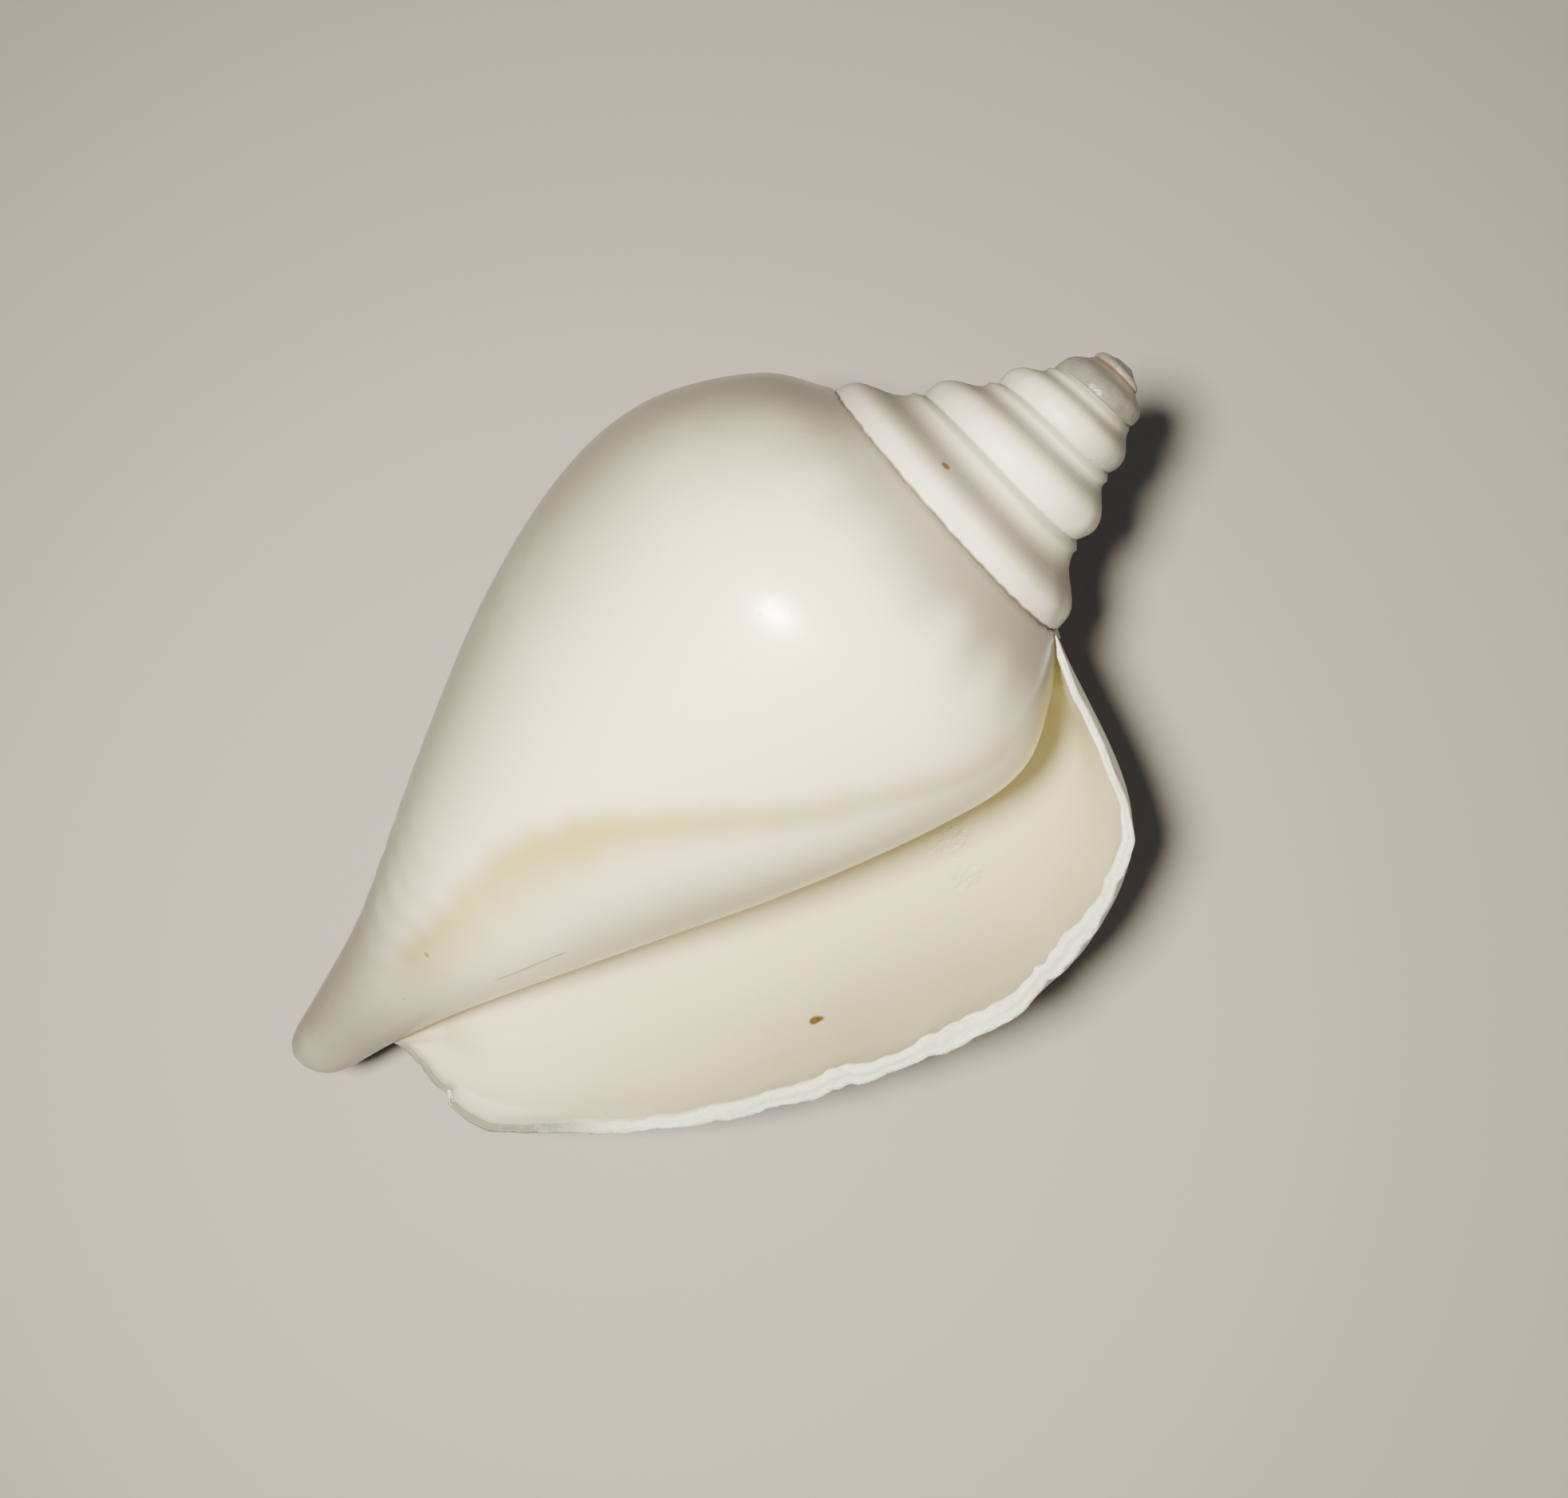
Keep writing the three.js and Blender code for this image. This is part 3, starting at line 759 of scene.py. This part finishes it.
# The lip's edge: chalky and layered, and glassy at its lower end.
coat(RIM_WHITE, 1.0 * on_rim)
layer = near(part, RIM + 0.42, 0.13) * rising(share, 0.12, 0.08) * falling(share, 0.56, 0.08)
coat(LAYER_GREY, 0.75 * on_rim * layer * (0.6 + 0.4 * np.tanh(lip_slow(share))))
coat(GLASSY_GREY, 0.94 * on_rim * rising(share, 0.57, 0.06))
chalk = np.clip((on_rim + inside * rising(from_lip, -1.6, 1.6)) * follow(CHALK_DOWN, share), 0, 1)
coat(CHALK_WHITE, 0.85 * chalk * inside)
coat(LOW_EDGE_GREY, 0.7 * inside * rising(from_lip, -7, 4) * rising(share, 0.58, 0.06))
matt = np.clip(chalk + 0.4 * on_spire * (1 - 0.4 * horny), 0, 1)

paint = mesh.attributes.new("paint", "FLOAT_COLOR", "POINT")
opaque = np.ones((len(colours), 1))
paint.data.foreach_set("color", np.hstack([colours, opaque]).astype(np.float32).ravel())
for name, values in (
    ("grown", angle), ("share", share), ("height", height),
    ("chalk", chalk), ("matt", matt), ("horny", horny),
):
    attribute = mesh.attributes.new(name, "FLOAT", "POINT")
    attribute.data.foreach_set("value", values.astype(np.float32))

material = bpy.data.materials.new("shell_surface")
material.use_nodes = True
shell.data.materials.append(material)
nodes, links = material.node_tree.nodes, material.node_tree.links
bsdf = nodes["Principled BSDF"]


def node(kind, **settings):
    made = nodes.new(kind)
    for key, value in settings.items():
        setattr(made, key, value)
    return made


def plug(value, socket):
    """Links a socket, or sets the value on the socket itself."""
    if isinstance(value, bpy.types.NodeSocket):
        links.new(value, socket)
    else:
        socket.default_value = value


def maths(operation, a, b, clamp):
    made = node("ShaderNodeMath", operation=operation, use_clamp=clamp)
    plug(a, made.inputs[0])
    plug(b, made.inputs[1])
    return made.outputs[0]


def add(a, b, clamp=False):
    return maths("ADD", a, b, clamp)


def subtract(a, b, clamp=False):
    return maths("SUBTRACT", a, b, clamp)


def multiply(a, b):
    return maths("MULTIPLY", a, b, False)


def tint(colour, other, weight):
    made = node("ShaderNodeMix", data_type="RGBA", blend_type="MIX")
    plug(weight, made.inputs["Factor"])
    plug(colour, made.inputs["A"])
    plug(other, made.inputs["B"])
    return made.outputs["Result"]


def ramp_between(value, low, high):
    """0 up to the low value, 1 from the high one."""
    made = node("ShaderNodeMapRange", clamp=True, interpolation_type="SMOOTHSTEP")
    plug(value, made.inputs["Value"])
    made.inputs["From Min"].default_value = low
    made.inputs["From Max"].default_value = high
    return made.outputs["Result"]


def noise(place, scale, detail, roughness=0.5):
    made = node("ShaderNodeTexNoise")
    made.inputs["Scale"].default_value = scale
    made.inputs["Detail"].default_value = detail
    made.inputs["Roughness"].default_value = roughness
    links.new(place, made.inputs["Vector"])
    return made.outputs["Fac"]


def named(name, output="Fac"):
    """A value painted on the mesh's points."""
    return node("ShaderNodeAttribute", attribute_name=name).outputs[output]


coordinates = node("ShaderNodeTexCoord").outputs["Object"]
waver = noise(coordinates, 420, 2)
cloudy = noise(coordinates, 110, 4, 0.55)
fine = noise(coordinates, 900, 5, 0.6)
pitted = noise(coordinates, 900, 4, 0.7)


def spot(point, size):
    """1 inside a small uneven spot around a point of the shell, given in the shell's own frame."""
    laid_point = (turn @ np.array(point) + SHIFT) / 1000
    distance = node("ShaderNodeVectorMath", operation="DISTANCE")
    plug(coordinates, distance.inputs[0])
    plug(laid_point.tolist(), distance.inputs[1])
    away = add(distance.outputs["Value"], multiply(subtract(waver, 0.5), size * MM))
    return subtract(1.0, ramp_between(away, 0.6 * size * MM, 1.05 * size * MM), True)


colour = named("paint", "Color")
colour = tint(colour, CLOUD, multiply(ramp_between(cloudy, 0.5, 0.8), 0.16))
colour = tint(colour, GRAIN, multiply(ramp_between(fine, 0.58, 0.82), 0.12))
for point, size, spot_colour, strength in SPOTS:
    colour = tint(colour, spot_colour, multiply(spot(point, size), strength))

# The crack is a thin line where growth and height have the crack's own ratio.
from_crack = subtract(add(named("grown"), multiply(named("height"), CRACK_SLOPE)), CRACK_ANGLE)
from_crack = add(from_crack, multiply(subtract(waver, 0.5), 3.0))
crack = subtract(1.0, ramp_between(maths("ABSOLUTE", from_crack, 0.0, False), 0.35, 1.0))
crack = multiply(crack, ramp_between(named("height"), *CRACK_START))
crack = multiply(crack, subtract(1.0, ramp_between(named("height"), *CRACK_END)))
crack = multiply(crack, ramp_between(named("share"), 0.1, 0.2))
colour = tint(colour, CRACK_BROWN, multiply(crack, 0.7))
chalk_pits = multiply(subtract(1.0, ramp_between(pitted, 0.38, 0.52)), named("chalk"))
colour = tint(colour, CHALK_PIT, multiply(chalk_pits, 0.45))
links.new(colour, bsdf.inputs["Base Color"])

roughness = add(multiply(ramp_between(cloudy, 0.3, 0.8), 0.10), 0.22)
roughness = add(roughness, multiply(named("matt"), 0.5), True)
links.new(roughness, bsdf.inputs["Roughness"])
bsdf.inputs["Subsurface Weight"].default_value = 0.1
bsdf.inputs["Subsurface Radius"].default_value = (1.0, 0.8, 0.55)
bsdf.inputs["Subsurface Scale"].default_value = 0.0015
bsdf.inputs["IOR"].default_value = 1.5

# Relief too fine for the mesh: faint growth lines, a grainy apex, chalky lip and crusty bits.
along_growth = node("ShaderNodeCombineXYZ")
links.new(multiply(named("grown"), 0.35), along_growth.inputs[0])
links.new(multiply(named("share"), 1.3), along_growth.inputs[1])
growth_lines = noise(along_growth.outputs[0], 2.2, 4)
crusty = add(spot(*CRUSTS[0]), spot(*CRUSTS[1]), True)
rough_places = add(named("chalk"), multiply(named("horny"), 0.25), True)
rough_places = add(rough_places, crusty, True)
relief = multiply(subtract(growth_lines, 0.5), 0.012)
relief = add(relief, multiply(fine, 0.012))
relief = add(relief, multiply(multiply(subtract(pitted, 0.5), rough_places), 0.65))
bump = node("ShaderNodeBump")
bump.inputs["Strength"].default_value = 0.6
bump.inputs["Distance"].default_value = MM
links.new(relief, bump.inputs["Height"])
links.new(bump.outputs["Normal"], bsdf.inputs["Normal"])

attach(shell, "root")
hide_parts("shell")

# The floor.
bpy.ops.mesh.primitive_plane_add(size=4, location=(0, 0, 0))
floor = bpy.context.object
floor.name = "floor"
floor_material = bpy.data.materials.new("floor_paper")
floor_material.use_nodes = True
floor_bsdf = floor_material.node_tree.nodes["Principled BSDF"]
floor_bsdf.inputs["Base Color"].default_value = FLOOR_GREY
floor_bsdf.inputs["Roughness"].default_value = 0.85
floor.data.materials.append(floor_material)

# The camera, carried over from the shell's own frame to the floor's.
camera_data = bpy.data.cameras.new("camera")
camera_data.lens = LENS
camera_data.sensor_width = SENSOR_WIDTH
camera_data.clip_start = 0.005
camera_data.clip_end = 10
camera = bpy.data.objects.new("camera", camera_data)
bpy.context.scene.collection.objects.link(camera)
right = turn @ (CAMERA_RIGHT / np.linalg.norm(CAMERA_RIGHT))
back = np.cross(right, turn @ CAMERA_UP)
back /= np.linalg.norm(back)
upward = np.cross(back, right)
eye = (turn @ CAMERA_PLACE + SHIFT) / 1000
placing = np.identity(4)
placing[:3] = np.column_stack((right, upward, back, eye))
camera.matrix_world = Matrix(placing.tolist())
bpy.context.scene.camera = camera


# Plain soft studio light.
def add_area(name, place, size, power, colour):
    data = bpy.data.lights.new(name, "AREA")
    data.shape = "DISK"
    data.size = size
    data.energy = power
    data.color = colour
    lamp = bpy.data.objects.new(name, data)
    bpy.context.scene.collection.objects.link(lamp)
    lamp.location = place
    lamp.rotation_euler = (Vector(LIT_PLACE) - Vector(place)).to_track_quat("-Z", "Y").to_euler()


key_place = eye + KEY_OFFSET @ np.array([right, upward, back])
add_area("key", key_place.tolist(), KEY_SIZE, KEY_POWER, (1, 0.95, 0.80))
add_area("fill", FILL_PLACE, FILL_SIZE, FILL_POWER, (0.97, 0.98, 1))
world = bpy.data.worlds.new("studio")
world.use_nodes = True
sky = world.node_tree.nodes["Background"]
sky.inputs["Color"].default_value = (0.9, 0.93, 1, 1)
sky.inputs["Strength"].default_value = WORLD_POWER
bpy.context.scene.world = world

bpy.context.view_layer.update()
